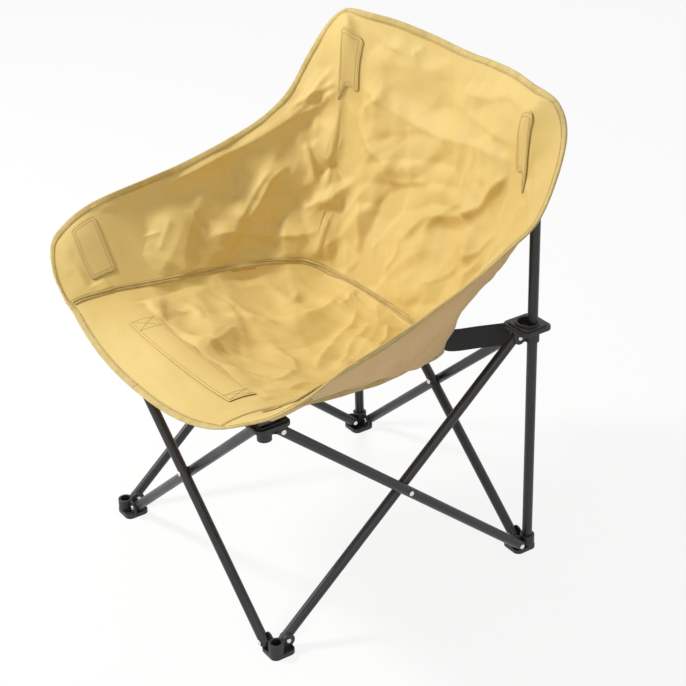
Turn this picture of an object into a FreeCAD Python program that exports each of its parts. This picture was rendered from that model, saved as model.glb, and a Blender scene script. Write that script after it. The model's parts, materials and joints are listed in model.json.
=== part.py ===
import FreeCAD, Part
import math
import os

# Folding moon chair: a square scissor frame of round steel tubes and a hung cloth bucket.
# Millimetres. The chair faces -Y, +X is to the right as seen from the front, +Z is up.
# All is drawn about the middle of the four feet, and moved at the end so that the origin is on
# the floor under the middle of the whole chair.

Vec = FreeCAD.Vector

# Driving sizes of the steel frame
post_spacing = 480.0         # between the corner axes, the same front to back and side to side
tube_diameter = 16.0
tube_wall = 1.0
post_wall = 1.2
pivot_inset = 22.5           # from a corner axis to the rivets of its two side tubes
foot_pivot_height = 17.0
hub_pivot_height = 392.0
post_top_height = 732.0
tube_end = 5.0               # steel left beyond the last rivet
plug_depth = 16.0            # how far an end plug reaches into its tube, past the rivet
cap_height = 4.0             # of a post cap above its post

# Clearances
side_gap = 0.2               # between a tube and the plate or spacer beside it
pin_clearance = 0.05         # round a rivet shank
plug_clearance = 0.05        # round an end plug
socket_clearance = 0.2       # round a post in its foot
slide_clearance = 0.1        # round a post in its slider
spigot_clearance = 0.1       # round an arm's spigot in its hub
layer_gap = 0.5              # between a panel and what is sewn on it
back_patch_gap = 1.1         # the same for the back patches, which lie over the bend at the posts
edge_gap = 0.4               # between a panel and the binding along its edge

# Rivets and crossings
rivet_radius = 2.5
rivet_head_radius = 4.0
rivet_head_height = 1.6
rivet_head_fillet = 1.2
crossing_gap = 3.0           # between the two tubes of a side
spacer_radius = 6.5

# Corner mouldings
plate_thickness = crossing_gap - 2 * side_gap
plate_offset = 2.0           # from a corner axis in to the middle of its plates
plate_lobe_radius = 11.0
foot_ring_radius = 12.0
foot_ring_height = 25.0
foot_pad_reach = 29.0        # from the corner axis in to the pad's inner edges
foot_pad_thickness = 5.0
foot_pad_corner = 10.0
foot_rim_height = 7.2
foot_rim_thickness = 2.4
foot_edge_fillet = 1.0
guide_radius = 10.8
guide_drop = 11.0            # from the hub rivets down to the end of the guide
flange_bottom = 10.5         # these four are heights above the hub rivets
flange_top = 17.5
plateau_top = 19.5
lip_top = 22.0
flange_outer_reach = 22.6
flange_inner_reach = 34.3
flange_corner = 11.0
flange_fillet = 1.5
plateau_inset = 5.0
mouth_radius = 15.0
mouth_taper = 1.0
mouth_floor = 2.0            # solid left under the wide mouth
lip_width = 4.2

# Arms of the two front hubs
arm_width = 36.0
arm_thickness = 5.0
arm_reach = 92.0             # sideways from the hub axis to the end of the tip
arm_setback = 12.0           # towards the back, over the same length
arm_rise = 74.0
arm_root_height = 14.2       # of the tongue's middle above the hub rivets, at the hub axis
arm_tip_radius = 14.0
arm_spigot_length = 15.0

# Cloth cover
cloth_thickness = 2.2
rim_binding_width = 11.0
rim_binding_thickness = 5.0
seam_binding_width = 8.0
seam_binding_thickness = 3.4
patch_thickness = 1.0
strip_half_length = 157.0
strip_width = 46.0
strip_middle_y = -219.0
strip_thickness = 1.4
strip_gap = 0.9              # between the seat and the strip, which bridges the seat's crease
pocket_cloth = 1.0
pocket_ease = 0.4            # between a pocket and the arm or post inside it
pocket_top_fillet = 3.0
back_pocket_bottom = 620.0
front_pocket_start = 50.0    # along the arm, from the hub axis
pocket_overrun = 20.0        # drawn past the mouth of a front pocket, then cut away
strap_width = 38.0
strap_thickness = 2.0
seat_dish = 2.6              # how late the seat curves up towards its seams
corner_station = 13          # the station at a rear post, where the side wall turns into the back
front_patch_low = (2.4, 3.45, 0.24)      # the lower edge's first place, last place and share
front_patch_high = (3.15, 4.05, 0.86)
back_patch_low = (11.7, 13.5, 0.67)
back_patch_high = (12.45, 13.8, 0.90)
drawn_hub_height = 392.0     # the heights that the tables below are drawn for
drawn_post_top = 732.0

# Right half of the cover, from the front corner round to the middle of the back.
# Each station runs from the seat's seam up the wall to the rim.
wall = [
    [(227, -305, 415), (228, -306, 416), (229, -307, 417), (230, -308, 418), (231, -309, 419)],
    [(227, -284, 419), (242, -289, 427), (258, -294, 434), (273, -298, 441), (287, -302, 449)],
    [(226, -250, 419), (253, -257, 433), (280, -265, 448), (308, -272, 463), (335, -279, 476)],
    [(228, -218, 417), (259, -224, 436), (290, -231, 457), (321, -237, 480), (352, -244, 495)],
    [(231, -183, 411), (262, -188, 435), (293, -194, 461), (325, -201, 488), (355, -208, 511)],
    [(230, -145, 407), (261, -149, 430), (294, -153, 458), (325, -159, 489), (351, -168, 523)],
    [(229, -80, 401), (262, -79, 429), (297, -80, 462), (324, -84, 498), (344, -92, 537)],
    [(225, -20, 396), (257, -15, 427), (292, -13, 467), (319, -16, 510), (337, -20, 552)],
    [(214, 40, 392), (248, 52, 428), (281, 62, 475), (308, 66, 526), (330, 62, 576)],
    [(203, 80, 388), (238, 105, 433), (267, 128, 488), (298, 136, 546), (325, 122, 600)],
    [(194, 98, 386), (225, 140, 440), (250, 184, 515), (292, 196, 580), (327, 172, 632)],
    [(185, 110, 383), (214, 163, 460), (238, 208, 565), (272, 224, 650), (320, 212, 692)],
    [(177, 117, 380), (208, 178, 480), (236, 221, 605), (248, 225, 710), (302, 240, 742)],
    [(170, 122, 378), (202, 186, 490), (230, 228, 622), (231, 229, 746), (266, 253, 772)],
    [(150, 130, 372), (172, 186, 480), (190, 228, 600), (197, 238, 710), (204, 259, 779)],
    [(117, 141, 366), (128, 187, 480), (137, 226, 590), (142, 249, 700), (145, 275, 777)],
    [(60, 151, 359), (66, 197, 475), (70, 234, 580), (72, 262, 685), (74, 291, 769)],
    [(0, 155, 357), (0, 201, 475), (0, 240, 580), (0, 268, 680), (0, 297, 763)],
]
# The seat's middle line, Y and Z, at the same stations
seat_middle = [(-319, 378), (-286, 390), (-251, 399), (-218, 400), (-183, 391), (-145, 376),
               (-80, 357), (-20, 348), (40, 345), (82, 346), (100, 347), (112, 348),
               (120, 349), (126, 350), (134, 351), (144, 353), (152, 356), (155, 357)]
# Middle line of the support strap behind the bucket, from the right slider to the left one
strap_line = [(207, 235.7, 382), (174, 193, 374), (141, 155, 366), (100, 162, 362), (50, 170, 358),
              (0, 173, 357), (-50, 170, 358), (-100, 162, 362), (-141, 155, 366), (-188, 181, 374),
              (-235.7, 207, 382)]

# Worked out
half = post_spacing / 2
tube_radius = tube_diameter / 2
outer_offset = plate_thickness / 2 + side_gap + tube_radius - plate_offset
inner_offset = plate_thickness / 2 + side_gap + tube_radius + plate_offset
rivet_hole = rivet_radius + pin_clearance
crossing_height = (foot_pivot_height + hub_pivot_height) / 2
rivet_place = half - pivot_inset
nose_radius = math.hypot(tube_end, tube_radius)
mouth_middle = (flange_inner_reach - flange_outer_reach) / 2
last_station = len(wall) - 1
front_height = hub_pivot_height + lip_top
ear_rise = arm_root_height + arm_rise + arm_width    # of the front ears over the hub rivets

nodes = {}


def cylinder(radius, start, end):
    """A round bar between two points."""
    along = end - start
    return Part.makeCylinder(radius, along.Length, start, along)


def rounded_slab(low, high, corner_radius, bottom, top):
    """An upright plate with rounded corners. low and high are its X and Y limits."""
    box = Part.makeBox(high[0] - low[0], high[1] - low[1], top - bottom, Vec(low[0], low[1], bottom))
    corners = [edge for edge in box.Edges if abs(edge.tangentAt(edge.FirstParameter).z) > 0.9]
    return box.makeFillet(corner_radius, corners)


def soften(shape, radius, heights):
    """Rounds the flat outlines of a slab or bar that lie at the given heights."""
    chosen = []
    for edge in shape.Edges:
        box = edge.BoundBox
        for height in heights:
            if abs(box.ZMin - height) < 0.01 and abs(box.ZMax - height) < 0.01:
                chosen.append(edge)
    return shape.makeFillet(radius, chosen)


def turned(shape, quarter_turns):
    """The same thing at another corner or side of the square frame."""
    copy = shape.copy()
    copy.rotate(Vec(0, 0, 0), Vec(0, 0, 1), 90 * quarter_turns)
    return copy


def at_corner(shape, quarter_turns):
    """Moves a moulding from its own axis to the front right corner, then round the square."""
    copy = shape.copy()
    copy.translate(Vec(half, -half, 0))
    return turned(copy, quarter_turns)


def left_of(shape):
    """The mirror image, on the chair's left."""
    return shape.mirror(Vec(0, 0, 0), Vec(1, 0, 0))


def ear_plates(pivot_height, bottom, top, skirt_end):
    """The two plates of a corner moulding on its own axis, one along +Y and one along -X."""
    low_x = -plate_offset - plate_thickness / 2
    web = Part.makeBox(plate_thickness, skirt_end, top - bottom, Vec(low_x, 0, bottom))
    lobe = cylinder(plate_lobe_radius, Vec(low_x, pivot_inset, pivot_height),
                    Vec(low_x + plate_thickness, pivot_inset, pivot_height))
    plate = web.fuse(lobe)
    hole = cylinder(rivet_hole, Vec(low_x - 1, pivot_inset, pivot_height),
                    Vec(low_x + plate_thickness + 1, pivot_inset, pivot_height))
    plate = plate.cut(hole)
    other = plate.copy()
    other.rotate(Vec(0, 0, 0), Vec(0, 0, 1), 90)
    other = other.mirror(Vec(0, 0, 0), Vec(0, 1, 0))
    return [plate, other]


def make_foot():
    """A foot on its own axis: pad with a raised inner rim, post socket and two plates."""
    low = (-foot_pad_reach, -foot_ring_radius)
    high = (foot_ring_radius, foot_pad_reach)
    pad = rounded_slab(low, high, foot_pad_corner, 0, foot_pad_thickness)
    rim = rounded_slab(low, high, foot_pad_corner, 0, foot_rim_height)
    rim = soften(rim, foot_edge_fillet, [foot_rim_height])
    inset = foot_rim_thickness
    hollow = rounded_slab((low[0] + inset, low[1] + inset), (high[0] - inset, high[1] - inset),
                          foot_pad_corner - inset, 0, 2 * foot_rim_height)
    ring = cylinder(foot_ring_radius, Vec(0, 0, 0), Vec(0, 0, foot_ring_height))
    ring = soften(ring, foot_edge_fillet, [foot_ring_height])
    plates = ear_plates(foot_pivot_height, 0, foot_ring_height - foot_edge_fillet, pivot_inset)
    body = pad.fuse([rim.cut(hollow), ring] + plates)
    # Under each plate's lobe the moulding is filled down to the pad
    low_x = -plate_offset - plate_thickness / 2
    fill = Part.makeBox(plate_thickness, foot_pad_reach - pivot_inset, foot_pivot_height - rivet_head_radius,
                        Vec(low_x, pivot_inset, 0))
    other_fill = fill.copy()
    other_fill.rotate(Vec(0, 0, 0), Vec(0, 0, 1), 90)
    other_fill = other_fill.mirror(Vec(0, 0, 0), Vec(0, 1, 0))
    body = body.fuse([fill, other_fill])
    socket = cylinder(tube_radius + socket_clearance, Vec(0, 0, foot_pad_thickness),
                      Vec(0, 0, 2 * foot_ring_height))
    return body.cut(socket).removeSplitter()


def make_hub():
    """A slider or front hub on its own axis: guide, flange with a wide mouth, two plates."""
    base = hub_pivot_height
    low = (-flange_inner_reach, -flange_outer_reach)
    high = (flange_outer_reach, flange_inner_reach)
    flange = rounded_slab(low, high, flange_corner, base + flange_bottom, base + flange_top)
    flange = soften(flange, flange_fillet, [base + flange_bottom, base + flange_top])
    inset = plateau_inset
    plateau = rounded_slab((low[0] + inset, low[1] + inset), (high[0] - inset, high[1] - inset),
                           flange_corner - inset / 2, base + flange_bottom + flange_fillet,
                           base + plateau_top)
    plateau = soften(plateau, flange_fillet, [base + plateau_top])
    middle = Vec(-mouth_middle, mouth_middle, 0)
    lip = cylinder(mouth_radius + lip_width, middle + Vec(0, 0, base + flange_top),
                   middle + Vec(0, 0, base + lip_top))
    lip = soften(lip, flange_fillet, [base + lip_top])
    guide = cylinder(guide_radius, Vec(0, 0, base - guide_drop), Vec(0, 0, base + flange_bottom + 1))
    plates = ear_plates(base, base, base + flange_bottom + 1, pivot_inset + plate_lobe_radius)
    low_x = -plate_offset - plate_thickness / 2
    web = Part.makeBox(plate_thickness, pivot_inset, plate_lobe_radius - 2,
                       Vec(low_x, 0, base - plate_lobe_radius + 2))
    other_web = web.copy()
    other_web.rotate(Vec(0, 0, 0), Vec(0, 0, 1), 90)
    other_web = other_web.mirror(Vec(0, 0, 0), Vec(0, 1, 0))
    body = flange.fuse([plateau, lip, guide, web, other_web] + plates)
    floor_height = base + flange_bottom + mouth_floor
    mouth = Part.makeCone(mouth_radius - mouth_taper, mouth_radius + mouth_taper / 2,
                          base + lip_top + 1 - floor_height, middle + Vec(0, 0, floor_height))
    bore = cylinder(tube_radius + slide_clearance, Vec(0, 0, base - guide_drop - 1),
                    Vec(0, 0, base + lip_top + 1))
    body = body.cut(mouth.fuse(bore))
    # The rivet holes again, through the webs that were added after the plates
    for start, end in [(Vec(low_x - 1, pivot_inset, base), Vec(1, pivot_inset, base)),
                       (Vec(-pivot_inset, -1, base), Vec(-pivot_inset, 1 - low_x, base))]:
        body = body.cut(cylinder(rivet_hole, start, end))
    return body.removeSplitter()


def arm_frame(shape):
    """Takes a shape drawn along its own X to the right arm's line from the right hub's axis."""
    along = Vec(arm_reach, arm_setback, arm_rise)
    along.normalize()
    across = Vec(-arm_setback, arm_reach, 0)
    across.normalize()
    up = along.cross(across)
    start = Vec(half, -half, hub_pivot_height + arm_root_height)
    matrix = FreeCAD.Matrix(along.x, across.x, up.x, start.x, along.y, across.y, up.y, start.y,
                            along.z, across.z, up.z, start.z, 0, 0, 0, 1)
    shape.Placement = FreeCAD.Placement(matrix)
    return shape


def make_arm(hub):
    """The right front hub's arm: a spigot in the bore, a root in the mouth and a flat tongue."""
    arm_length = math.sqrt(arm_reach ** 2 + arm_setback ** 2 + arm_rise ** 2)
    tongue = rounded_slab((0, -arm_width / 2), (arm_length, arm_width / 2), arm_tip_radius,
                          -arm_thickness / 2, arm_thickness / 2)
    tongue = soften(tongue, 1.0, [-arm_thickness / 2, arm_thickness / 2])
    tongue = arm_frame(tongue)
    floor_height = hub_pivot_height + flange_bottom + mouth_floor
    middle = Vec(half - mouth_middle, -half + mouth_middle, 0)
    root_radius = mouth_radius - mouth_taper - spigot_clearance
    root = cylinder(root_radius, middle + Vec(0, 0, floor_height), middle + Vec(0, 0, front_height - 1))
    spigot = cylinder(tube_radius + slide_clearance - spigot_clearance,
                      Vec(half, -half, floor_height - arm_spigot_length),
                      Vec(half, -half, floor_height + 1))
    spigot = soften(spigot, 1.0, [floor_height - arm_spigot_length])
    arm = tongue.fuse([root, spigot])
    arm = arm.cut(hub)
    return max(arm.Solids, key=lambda solid: solid.Volume)


def make_front_pocket():
    """The sewn sleeve round the right arm's tongue."""
    arm_length = math.sqrt(arm_reach ** 2 + arm_setback ** 2 + arm_rise ** 2)
    ease = pocket_ease
    wall_out = pocket_ease + pocket_cloth
    inner = rounded_slab((front_pocket_start - 2 * pocket_overrun, -arm_width / 2 - ease),
                         (arm_length + ease, arm_width / 2 + ease),
                         arm_tip_radius + ease, -arm_thickness / 2 - ease, arm_thickness / 2 + ease)
    outer = rounded_slab((front_pocket_start - pocket_overrun, -arm_width / 2 - wall_out),
                         (arm_length + wall_out, arm_width / 2 + wall_out),
                         arm_tip_radius + wall_out, -arm_thickness / 2 - wall_out,
                         arm_thickness / 2 + wall_out)
    mouth_end = Part.makeBox(3 * pocket_overrun, 2 * arm_width, 8 * arm_thickness,
                             Vec(front_pocket_start - 3 * pocket_overrun, -arm_width, -4 * arm_thickness))
    return arm_frame(outer.cut(inner).cut(mouth_end))


def make_rivet(start, end):
    """A rivet whose shank just spans the two points, with a rounded head at each."""
    along = end - start
    length = along.Length
    shank = Part.makeCylinder(rivet_radius, length + 1, Vec(0, 0, -0.5))
    low_head = Part.makeCylinder(rivet_head_radius, rivet_head_height, Vec(0, 0, -rivet_head_height))
    low_head = soften(low_head, rivet_head_fillet, [-rivet_head_height])
    high_head = Part.makeCylinder(rivet_head_radius, rivet_head_height, Vec(0, 0, length))
    high_head = soften(high_head, rivet_head_fillet, [length + rivet_head_height])
    rivet = shank.fuse([low_head, high_head]).removeSplitter()
    rivet.Placement = FreeCAD.Placement(start, FreeCAD.Rotation(Vec(0, 0, 1), along))
    return rivet


def side_tube(offset_x, foot_y):
    """A tube of the right side with its three rivet holes. foot_y is the lower rivet's Y."""
    low = Vec(offset_x, foot_y, foot_pivot_height)
    high = Vec(offset_x, -foot_y, hub_pivot_height)
    along = high - low
    along.normalize()
    outside = cylinder(tube_radius, low - along * tube_end, high + along * tube_end)
    inside = cylinder(tube_radius - tube_wall, low - along * (tube_end + 1), high + along * (tube_end + 1))
    tube = outside.cut(inside)
    across = Vec(2 * tube_radius, 0, 0)
    for middle in [low, (low + high) * 0.5, high]:
        tube = tube.cut(cylinder(rivet_hole, middle - across, middle + across))
    return tube


def side_plugs(offset_x, foot_y):
    """The two end plugs of a tube of the right side."""
    low = Vec(offset_x, foot_y, foot_pivot_height)
    high = Vec(offset_x, -foot_y, hub_pivot_height)
    plugs = []
    for pivot, other in [(low, high), (high, low)]:
        out = pivot - other
        out.normalize()
        face = pivot + out * tube_end
        stem = cylinder(tube_radius - tube_wall - plug_clearance, pivot - out * plug_depth, face)
        dome = cylinder(tube_radius, face, face + out * tube_radius)
        dome = dome.common(Part.makeSphere(nose_radius, pivot))
        across = Vec(2 * tube_radius, 0, 0)
        hole = cylinder(rivet_hole, pivot - across, pivot + across)
        plugs.append(stem.fuse(dome).cut(hole).removeSplitter())
    return Part.makeCompound(plugs)


def hung(x, y, z):
    """A point of the cloth's tables. Low down, where the arms hold it, it keeps its height over the
    hubs. Higher up it keeps its share of the way from there to the post tops."""
    above = z - drawn_hub_height
    if above > ear_rise:
        span = post_top_height - hub_pivot_height - ear_rise
        drawn_span = drawn_post_top - drawn_hub_height - ear_rise
        above = ear_rise + (above - ear_rise) * span / drawn_span
    return Vec(x, y, hub_pivot_height + above)


def on_curve(points, place):
    """A smooth line through evenly numbered points, at a fractional number."""
    first = min(int(place), len(points) - 2)
    part = place - first
    near = points[first]
    far = points[first + 1]
    before = points[first - 1] if first > 0 else near * 2 - far
    after = points[first + 2] if first + 2 < len(points) else far * 2 - near
    slope_near = (far - before) * 0.5
    slope_far = (after - near) * 0.5
    square = part * part
    cube = square * part
    return (near * (2 * cube - 3 * square + 1) + slope_near * (cube - 2 * square + part)
            + far * (3 * square - 2 * cube) + slope_far * (cube - square))


def rows_at(place):
    """The five points of the wall at a fractional station. Past the middle of the back it is mirrored."""
    mirrored = place > last_station
    if mirrored:
        place = 2 * last_station - place
    around = wall + [[(-x, y, z) for x, y, z in wall[last_station - 1]]]
    points = []
    for row in range(5):
        line = [hung(*station[row]) for station in around]
        point = on_curve(line, place)
        if mirrored:
            point.x = -point.x
        points.append(point)
    return points


def wall_length(place):
    """How far it is up the wall from the seam to the rim."""
    points = rows_at(place)
    return sum((points[row + 1] - points[row]).Length for row in range(4))


def wall_point(place, share):
    """A point of the wall. share runs from 0 at the seam to 1 at the rim, by length."""
    points = rows_at(place)
    steps = [(points[row + 1] - points[row]).Length for row in range(4)]
    target = share * sum(steps)
    row = 0
    while row < 3 and target > steps[row]:
        target -= steps[row]
        row += 1
    return on_curve(points, row + min(max(target / steps[row], 0), 1))


def seat_point(place, share):
    """A point of the seat. share runs from -1 at the left seam to 1 at the right seam."""
    edge = on_curve([hung(*station[0]) for station in wall], place)
    middle = on_curve([hung(0, y, z) for y, z in seat_middle], place)
    across = abs(share)
    return Vec(share * edge.x, middle.y + (edge.y - middle.y) * across ** 2,
               middle.z + (edge.z - middle.z) * across ** seat_dish)


def steps_between(low, high, count):
    """Evenly spaced values, both ends included."""
    return [low + (high - low) * number / (count - 1) for number in range(count)]


def even_knots(count):
    """Knots and their multiplicities of a cubic spline that starts and ends on its first and last points."""
    spans = count - 3
    return [number / spans for number in range(spans + 1)], [4] + [1] * (spans - 1) + [4]


def pulled_out(line):
    """Moves the inner points of a line outwards, so that the spline which they steer passes near them."""
    inner = [(line[place] * 8 - line[place - 1] - line[place + 1]) * (1 / 6)
             for place in range(1, len(line) - 1)]
    return [line[0]] + inner + [line[-1]]


def skin_through(points):
    """A smooth surface drawn over a close grid of points."""
    points = [pulled_out(line) for line in points]
    columns = [pulled_out(list(column)) for column in zip(*points)]
    points = [list(line) for line in zip(*columns)]
    skin = Part.BSplineSurface()
    u_knots, u_mults = even_knots(len(points))
    v_knots, v_mults = even_knots(len(points[0]))
    skin.buildFromPolesMultsKnots(points, u_mults, v_mults, u_knots, v_knots, False, False, 3, 3)
    return skin


def make_sheet(surface, grid, thickness, lift):
    """A closed solid of even thickness over a grid of places on a surface.
    lift is how far its middle lies from the surface, towards the sitter."""
    lower = []
    upper = []
    for line in grid:
        lower_line = []
        upper_line = []
        for place, share in line:
            small = 0.002
            ahead = surface(place + small, share) - surface(place - small, share)
            aside = surface(place, share + small) - surface(place, share - small)
            normal = aside.cross(ahead)
            normal.normalize()
            point = surface(place, share)
            lower_line.append(point + normal * (lift - thickness / 2))
            upper_line.append(point + normal * (lift + thickness / 2))
        lower.append(lower_line)
        upper.append(upper_line)
    skins = []
    for points in (lower, upper):
        skins.append(skin_through(points))
    faces = [skins[0].toShape(), skins[1].toShape()]
    u_low, u_high, v_low, v_high = skins[0].bounds()
    for end in (u_low, u_high):
        faces.append(Part.makeRuledSurface(skins[0].uIso(end).toShape(), skins[1].uIso(end).toShape()))
    for end in (v_low, v_high):
        faces.append(Part.makeRuledSurface(skins[0].vIso(end).toShape(), skins[1].vIso(end).toShape()))
    shell = Part.makeShell(faces)
    shell.sewShape()
    solid = Part.makeSolid(shell)
    if solid.Volume < 0:
        solid.reverse()
    return solid


def wall_at(place, share):
    """The wall with places below 0 held at the front corner."""
    return wall_point(max(place, 0), min(max(share, 0), 1))


def seat_at(place, share):
    """The seat with places below 0 held at the front edge. Its normal points up."""
    return seat_point(max(place, 0), share)


def wall_grid(places, low_width, high_width, low_limit, high_limit, count):
    """Places on the wall between two distances, measured up from the seam and down from the rim."""
    grid = []
    for place in places:
        length = wall_length(place)
        low = min(low_width / length, low_limit)
        high = 1 - min(high_width / length, high_limit)
        grid.append([(place, share) for share in steps_between(low, high, count)])
    return grid


# Steel frame and its mouldings, one quarter at a time
corners = ["front_right", "back_right", "back_left", "front_left"]
sides = ["right", "back", "left", "front"]
foot = make_foot()
hub = make_hub()
plate_out = half - plate_offset + plate_thickness / 2
plate_in = half - plate_offset - plate_thickness / 2
outer_crown = half + outer_offset + tube_radius
inner_crown = half - inner_offset - tube_radius

for number, corner in enumerate(corners):
    nodes["foot_" + corner] = at_corner(foot, number)
    hub_name = "hub_" + corner if corner.startswith("front") else "slider_" + corner
    nodes[hub_name] = at_corner(hub, number)
    low_rivets = [make_rivet(Vec(inner_crown - side_gap, -rivet_place, foot_pivot_height),
                             Vec(plate_out, -rivet_place, foot_pivot_height)),
                  make_rivet(Vec(rivet_place, -outer_crown - side_gap, foot_pivot_height),
                             Vec(rivet_place, -plate_in, foot_pivot_height))]
    high_rivets = [make_rivet(Vec(plate_in, -rivet_place, hub_pivot_height),
                              Vec(outer_crown + side_gap, -rivet_place, hub_pivot_height)),
                   make_rivet(Vec(rivet_place, -plate_out, hub_pivot_height),
                              Vec(rivet_place, -inner_crown + side_gap, hub_pivot_height))]
    nodes["foot_rivets_" + corner] = turned(Part.makeCompound(low_rivets), number)
    nodes["hub_rivets_" + corner] = turned(Part.makeCompound(high_rivets), number)

for number, side in enumerate(sides):
    outer_x = half + outer_offset
    inner_x = half - inner_offset
    nodes[side + "_outer_tube"] = turned(side_tube(outer_x, rivet_place), number)
    nodes[side + "_inner_tube"] = turned(side_tube(inner_x, -rivet_place), number)
    nodes[side + "_outer_plugs"] = turned(side_plugs(outer_x, rivet_place), number)
    nodes[side + "_inner_plugs"] = turned(side_plugs(inner_x, -rivet_place), number)
    crossing = make_rivet(Vec(inner_crown - side_gap, 0, crossing_height),
                          Vec(outer_crown + side_gap, 0, crossing_height))
    nodes[side + "_crossing_rivet"] = turned(crossing, number)
    spacer_start = inner_x + tube_radius + side_gap
    spacer = cylinder(spacer_radius, Vec(spacer_start, 0, crossing_height),
                      Vec(spacer_start + crossing_gap - 2 * side_gap, 0, crossing_height))
    spacer = spacer.cut(cylinder(rivet_hole, Vec(inner_x, 0, crossing_height),
                                 Vec(outer_x, 0, crossing_height)))
    nodes[side + "_crossing_spacer"] = turned(spacer, number)

# Rear posts with their caps, front arms
post_start = foot_pad_thickness + side_gap
post = cylinder(tube_radius, Vec(half, half, post_start), Vec(half, half, post_top_height))
post = post.cut(cylinder(tube_radius - post_wall, Vec(half, half, 0), Vec(half, half, post_top_height + 1)))
cap_stem = cylinder(tube_radius - post_wall - plug_clearance, Vec(half, half, post_top_height - plug_depth),
                    Vec(half, half, post_top_height))
cap_head = cylinder(tube_radius, Vec(half, half, post_top_height),
                    Vec(half, half, post_top_height + cap_height))
cap_head = soften(cap_head, cap_height * 0.7, [post_top_height + cap_height])
cap = cap_stem.fuse(cap_head).removeSplitter()
arm = make_arm(nodes["hub_front_right"])
front_pocket = make_front_pocket()
for name, shape in [("post", post), ("post_cap", cap), ("arm", arm)]:
    nodes[name + "_right"] = shape
    nodes[name + "_left"] = left_of(shape)

# Cloth cover: five sheets of the bucket and the bindings between and round them
tiny = 0.03
front_start = 0.3
side_places = steps_between(front_start, corner_station - tiny, 41)
back_places = steps_between(corner_station + tiny, 2 * last_station - corner_station - tiny, 25)
whole_places = steps_between(front_start, 2 * last_station - front_start, 69)
low_width = seam_binding_width + edge_gap
high_width = rim_binding_width + edge_gap
side_panel = make_sheet(wall_at, wall_grid(side_places, low_width, high_width, 0.34, 0.40, 11),
                        cloth_thickness, 0)
nodes["right_side_panel"] = side_panel
nodes["left_side_panel"] = left_of(side_panel)
nodes["back_panel"] = make_sheet(wall_at, wall_grid(back_places, low_width, high_width, 1, 1, 11),
                                 cloth_thickness, 0)
binding_grid = []
for place in whole_places:
    length = wall_length(min(place, 2 * last_station - place))
    low = 1 - min(rim_binding_width / length, 0.32)
    binding_grid.append([(place, share) for share in steps_between(low, 1, 4)])


def wall_round(place, share):
    """The whole wall, left side mirrored, with the places held inside it."""
    return wall_point(min(max(place, 0), 2 * last_station), min(max(share, 0), 1))


wall_binding = make_sheet(wall_round, binding_grid, rim_binding_thickness, 0)
seam_grid = []
for place in whole_places:
    length = wall_length(min(place, 2 * last_station - place))
    high = min(seam_binding_width / length, 0.3)
    seam_grid.append([(place, share) for share in steps_between(0, high, 4)])
nodes["seam_binding"] = make_sheet(wall_round, seam_grid, seam_binding_thickness, 0)

# Seat, its front edge and the reinforcing strip
front_share = rim_binding_width / (seat_middle[1][0] - seat_middle[0][0])
gap_share = front_share + edge_gap / (seat_middle[1][0] - seat_middle[0][0])
seat_edge = 0.993
seat_grid = [[(place, share) for share in steps_between(-seat_edge, seat_edge, 15)]
             for place in steps_between(gap_share, last_station - 1, 31)]
seat_panel = make_sheet(seat_at, seat_grid, cloth_thickness, 0)
# The seat is trimmed all along the seam, so that it ends clear of the binding
seam_room = make_sheet(wall_round, seam_grid, seam_binding_thickness + 2 * edge_gap, 0)
seat_panel = seat_panel.cut(seam_room)
nodes["seat_panel"] = max(seat_panel.Solids, key=lambda solid: solid.Volume)
edge_grid = [[(place, share) for share in steps_between(-seat_edge, seat_edge, 15)]
             for place in steps_between(0.0, front_share, 4)]
front_binding = make_sheet(seat_at, edge_grid, rim_binding_thickness, 0)
nodes["rim_binding"] = Part.makeCompound([wall_binding, front_binding])
strip_grid = []
for y in steps_between(strip_middle_y - strip_width / 2, strip_middle_y + strip_width / 2, 4):
    station = 0
    while seat_middle[station + 1][0] < y:
        station += 1
    place = station + (y - seat_middle[station][0]) / (seat_middle[station + 1][0] - seat_middle[station][0])
    edge_x = abs(seat_point(place, 1).x)
    reach = strip_half_length / edge_x
    strip_grid.append([(place, share) for share in steps_between(-reach, reach, 11)])
strip_lift = cloth_thickness / 2 + strip_gap + strip_thickness / 2
nodes["front_strip"] = make_sheet(seat_at, strip_grid, strip_thickness, strip_lift)



def slanted(low, high, across, along):
    """Places on the wall between a patch's lower edge and its upper one. Each edge is given by its
    first place, its last place and its share."""
    grid = []
    for part in steps_between(0, 1, across):
        low_place = low[0] + (low[1] - low[0]) * part
        high_place = high[0] + (high[1] - high[0]) * part
        grid.append([(low_place + (high_place - low_place) * rise, low[2] + (high[2] - low[2]) * rise)
                     for rise in steps_between(0, 1, along)])
    return grid


# Stitched patches inside the four ears, and the pockets behind them
patch_lift = cloth_thickness / 2 + layer_gap + patch_thickness / 2
back_patch_lift = cloth_thickness / 2 + back_patch_gap + patch_thickness / 2
front_patch = make_sheet(wall_at, slanted(front_patch_low, front_patch_high, 9, 11), patch_thickness,
                         patch_lift)
back_patch = make_sheet(wall_at, slanted(back_patch_low, back_patch_high, 11, 9), patch_thickness,
                        back_patch_lift)
pocket_radius = tube_radius + pocket_ease
pocket_top = post_top_height + cap_height + pocket_ease
back_pocket = cylinder(pocket_radius + pocket_cloth, Vec(half, half, back_pocket_bottom),
                       Vec(half, half, pocket_top + pocket_cloth))
back_pocket = soften(back_pocket, pocket_top_fillet, [pocket_top + pocket_cloth])
post_room = cylinder(pocket_radius, Vec(half, half, back_pocket_bottom - 1), Vec(half, half, pocket_top))
back_pocket = back_pocket.cut(soften(post_room, pocket_top_fillet - pocket_cloth, [pocket_top]))
for name, shape in [("front_patches", front_patch), ("back_patches", back_patch),
                    ("front_pockets", front_pocket), ("back_pockets", back_pocket)]:
    nodes[name] = Part.makeCompound([shape, left_of(shape)])

# Support strap from slider to slider, standing on edge round the lower back of the bucket
strap_points = [hung(*point) for point in strap_line]


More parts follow.
